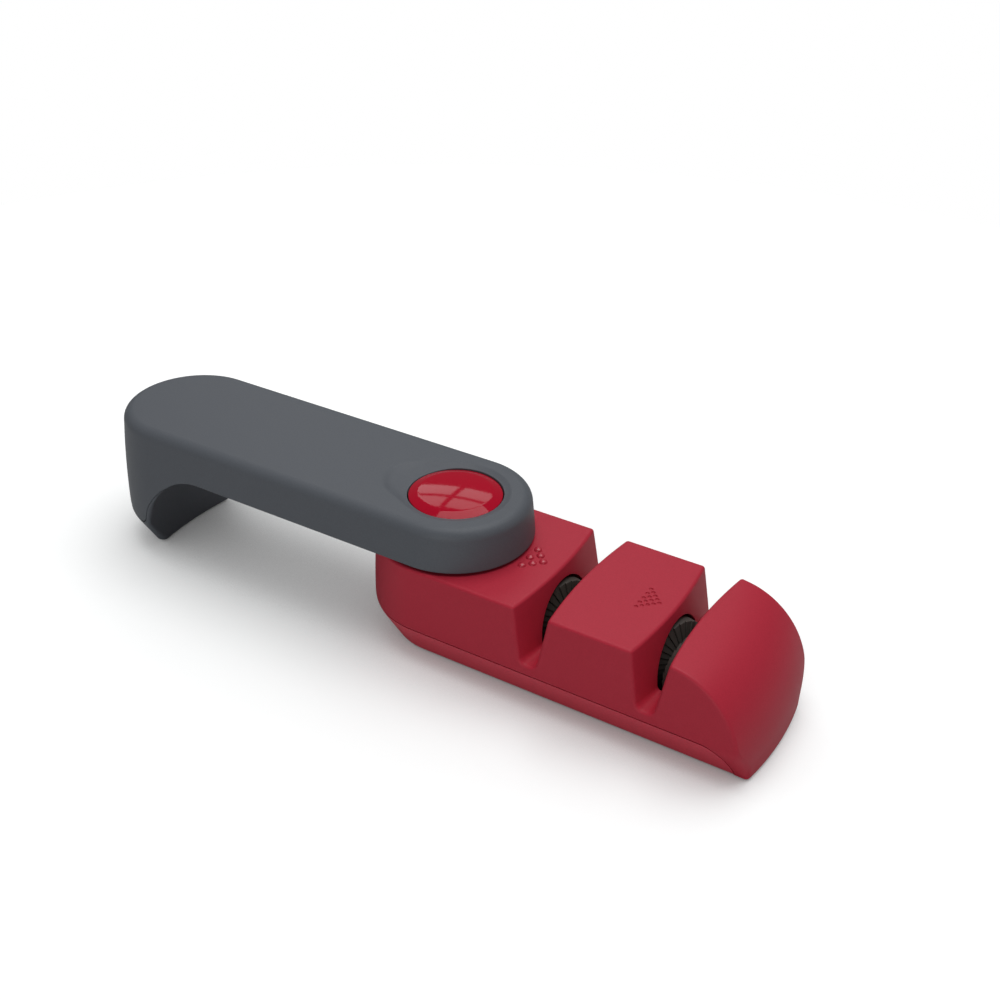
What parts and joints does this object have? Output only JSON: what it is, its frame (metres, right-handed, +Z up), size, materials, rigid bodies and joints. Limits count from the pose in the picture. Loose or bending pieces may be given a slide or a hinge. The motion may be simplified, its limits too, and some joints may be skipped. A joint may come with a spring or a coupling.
{
  "type": "pull-through knife sharpener",
  "caption": "Folding pull-through knife sharpener: slotted base with coarse and fine angled wheels, a swing-out handle with a leg, and a release button over the pivot.",
  "frame": {"origin": "on the pivot axis, at the flat face of the pad that the base rests on", "axes": "+X from the pivot to the nose of the base, along the length of the open object; +Z up along the pivot axis; +Y to the far side"},
  "size_m": [0.1804, 0.038, 0.0371],
  "materials": {
    "red_shell": "soft-touch satin",
    "red_plate": "fine spark texture",
    "grey_shell": "soft-touch satin",
    "grey_liner": "plain moulded",
    "button_red": "high gloss",
    "black_plastic": "plain moulded",
    "white_acetal": "satin",
    "coarse_ceramic": "sintered, rough",
    "fine_ceramic": "sintered, fine",
    "steel": "turned and rolled",
    "pad_rubber": "matt"
  },
  "bodies": {
    "base": {"base_housing": "red_shell", "base_plate": "red_plate", "base_pads": "pad_rubber", "base_screws": "steel", "coarse_carrier": "black_plastic", "fine_carrier": "black_plastic", "coarse_axle": "steel", "fine_axle": "steel", "pivot_washer": "white_acetal", "latch_ring": "steel", "pivot_screws": "steel"},
    "coarse_wheels": {"coarse_wheel_left": "coarse_ceramic", "coarse_wheel_right": "coarse_ceramic", "coarse_hub": "white_acetal"},
    "fine_wheels": {"fine_wheel_left": "fine_ceramic", "fine_wheel_right": "fine_ceramic", "fine_hub": "white_acetal"},
    "handle": {"handle_shell": "grey_shell", "handle_liner": "grey_liner", "leg_cap": "grey_shell", "leg_pad": "pad_rubber", "handle_screws": "steel", "leg_screw": "steel", "latch_spring": "steel", "button_spring": "steel"},
    "button": {"button_cap": "button_red", "button_plunger": "white_acetal"}
  },
  "joints": [
    {"name": "handle_swing", "type": "hinge", "parent": "base", "child": "handle", "pos_m": [0, 0, 0.0278], "axis": [0, 0, 1], "range_deg": [0, 180], "deforming": ["latch_spring"]},
    {"name": "button_press", "type": "slide", "parent": "handle", "child": "button", "axis": [0, 0, -1], "range_m": [0, 0.0014], "stiffness_N_per_m": 700, "springref_m": -0.0012, "deforming": ["button_spring"]},
    {"name": "coarse_wheels_spin", "type": "hinge", "parent": "base", "child": "coarse_wheels", "pos_m": [0.0307, 0, 0.013], "axis": [0.9511, -0.309, 0], "continuous": true},
    {"name": "fine_wheels_spin", "type": "hinge", "parent": "base", "child": "fine_wheels", "pos_m": [0.0588, 0, 0.013], "axis": [0.9511, -0.309, 0], "continuous": true}
  ]
}
